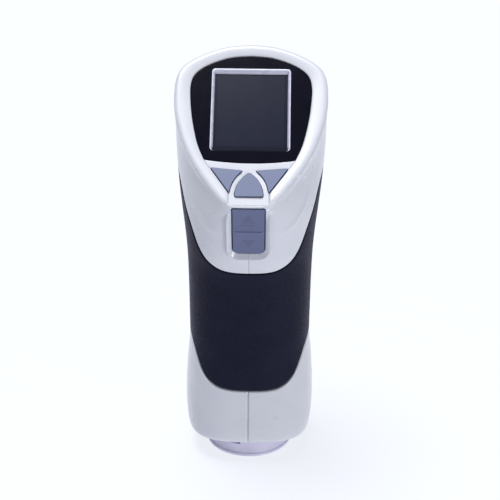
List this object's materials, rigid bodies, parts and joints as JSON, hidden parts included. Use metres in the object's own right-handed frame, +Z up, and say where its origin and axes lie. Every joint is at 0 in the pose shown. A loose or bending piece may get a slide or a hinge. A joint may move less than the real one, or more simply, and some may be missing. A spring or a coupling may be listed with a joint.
{
  "type": "hand-held colorimeter",
  "caption": "Upright hand-held colour meter with a screen and keys on its tilted face, a rubber grip and a round calibration cap that it stands on.",
  "frame": {"origin": "centre of the calibration cap's underside, on the surface that the instrument stands on", "axes": "+Z up along the handle, the screen faces -Y and +Z, +X is the instrument's side on the viewer's right"},
  "size_m": [0.0702, 0.0856, 0.2029],
  "materials": {
    "white_shell": "moulded white with a soft gloss",
    "grip_rubber": "dark navy with a fine leather grain",
    "window_black": "high gloss black",
    "trim_silver": "silver lacquer",
    "screen_dark": "switched off screen",
    "key_blue": "satin blue grey",
    "rocker_blue": "satin dark blue grey",
    "cap_plastic": "satin lilac grey",
    "inner_plastic": "moulded black",
    "circuit_board": "green solder mask",
    "steel": "plated",
    "mat_rubber": "soft silicone",
    "battery_wrap": "shrink wrap",
    "white_standard": "glazed white",
    "sphere_coating": "diffuse white coating",
    "lens_glass": "polished"
  },
  "bodies": {
    "housing": {"battery_holder": "inner_plastic", "battery_pack": "battery_wrap", "case_screw_1": "steel", "case_screw_2": "steel", "case_screw_3": "steel", "case_screw_4": "steel", "display_board": "circuit_board", "face_frame": "inner_plastic", "face_screw_1": "steel", "face_screw_2": "steel", "face_screw_3": "steel", "face_screw_4": "steel", "front_bezel": "white_shell", "grip_sleeve": "grip_rubber", "housing_left": "white_shell", "housing_right": "white_shell", "key_panel": "white_shell", "keypad_mat": "mat_rubber", "lcd_panel": "screen_dark", "led_ring": "circuit_board", "main_board": "circuit_board", "measure_switch": "inner_plastic", "optics_frame": "inner_plastic", "port_ring": "inner_plastic", "port_screw_1": "steel", "port_screw_2": "steel", "port_screw_3": "steel", "power_switch": "inner_plastic", "rocker_board": "circuit_board", "rocker_bracket": "inner_plastic", "rocker_pin": "steel", "rocker_switch_1": "inner_plastic", "rocker_switch_2": "inner_plastic", "screen_trim": "trim_silver", "sensor_board": "circuit_board", "sensor_lens": "lens_glass", "sensor_tube": "inner_plastic", "sphere_lower": "sphere_coating", "sphere_upper": "sphere_coating", "trigger_board": "circuit_board", "usb_socket": "steel", "window_mask": "window_black"},
    "enter_button": {"key_enter": "key_blue"},
    "cancel_button": {"key_cancel": "key_blue"},
    "save_button": {"key_save": "key_blue"},
    "rocker": {"rocker_key": "rocker_blue"},
    "trigger": {"measure_button": "rocker_blue"},
    "slider": {"power_slider": "inner_plastic"},
    "flap": {"port_flap": "grip_rubber"},
    "door": {"battery_door": "grip_rubber"},
    "cap": {"calibration_cap": "cap_plastic", "white_tile": "white_standard"}
  },
  "joints": [
    {"name": "enter_press", "type": "slide", "parent": "housing", "child": "enter_button", "axis": [0, 0.6951, -0.7189], "range_m": [0, 0.0007], "stiffness_N_per_m": 800, "springref_m": -0.0005},
    {"name": "cancel_press", "type": "slide", "parent": "housing", "child": "cancel_button", "axis": [0, 0.6951, -0.7189], "range_m": [0, 0.0007], "stiffness_N_per_m": 800, "springref_m": -0.0005},
    {"name": "save_press", "type": "slide", "parent": "housing", "child": "save_button", "axis": [0, 0.6951, -0.7189], "range_m": [0, 0.0007], "stiffness_N_per_m": 800, "springref_m": -0.0005},
    {"name": "rocker_tilt", "type": "hinge", "parent": "housing", "child": "rocker", "pos_m": [0, -0.03788, 0.13327], "axis": [1, 0, 0], "range_deg": [-3, 3], "stiffness_Nm_per_rad": 0.3},
    {"name": "measure_press", "type": "slide", "parent": "housing", "child": "trigger", "axis": [0, -0.961, 0.2767], "range_m": [0, 0.0015], "stiffness_N_per_m": 700, "springref_m": -0.001},
    {"name": "power_slide", "type": "slide", "parent": "housing", "child": "slider", "axis": [0, 0, 1], "range_m": [0, 0.004]},
    {"name": "flap_open", "type": "hinge", "parent": "housing", "child": "flap", "pos_m": [0.03087, 0.009, 0.026], "axis": [0, 1, 0], "range_deg": [0, 90]},
    {"name": "door_open", "type": "hinge", "parent": "housing", "child": "door", "pos_m": [0, 0.02602, 0.071], "axis": [-1, 0, 0], "range_deg": [0, 50]},
    {"name": "cap_off", "type": "slide", "parent": "housing", "child": "cap", "axis": [0, 0, -1], "range_m": [0, 0.03]}
  ]
}
